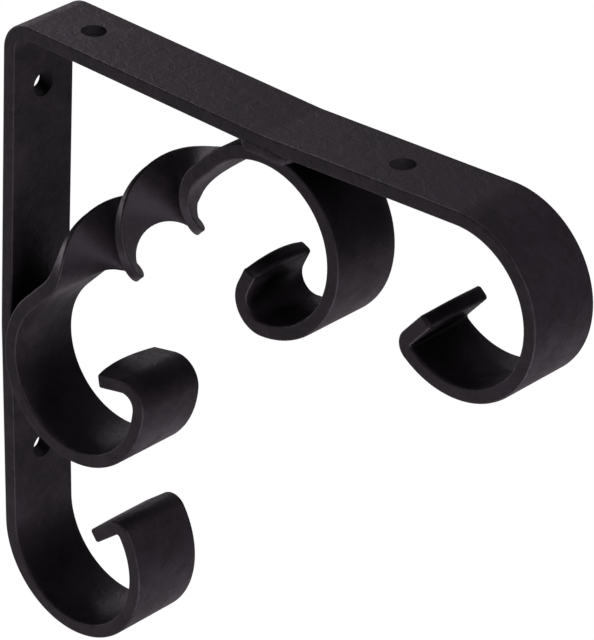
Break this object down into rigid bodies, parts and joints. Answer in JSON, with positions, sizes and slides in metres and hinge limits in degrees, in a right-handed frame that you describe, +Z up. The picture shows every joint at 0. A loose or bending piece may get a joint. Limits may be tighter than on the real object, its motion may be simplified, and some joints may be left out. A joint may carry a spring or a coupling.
{
  "type": "scroll shelf bracket",
  "caption": "L-shaped shelf bracket of black painted flat bar with hooked arm ends and a twisted, curled brace in the corner.",
  "frame": {"origin": "on the wall face, on the axis of the upper wall screw hole, midway along the bar's width", "axes": "+X out from the wall along the shelf arm, +Y along the bar's width away from the viewer of the scroll, +Z up"},
  "size_m": [0.1633, 0.024, 0.1632],
  "materials": {
    "black_paint_frame": "satin black paint on steel flat bar",
    "black_paint_scroll": "satin black paint on steel flat bar",
    "black_paint_weld": "satin black paint over weld metal"
  },
  "bodies": {
    "root": {"outer_frame": "black_paint_frame", "inner_scroll": "black_paint_scroll", "shelf_weld": "black_paint_weld", "wall_weld": "black_paint_weld"}
  },
  "joints": []
}
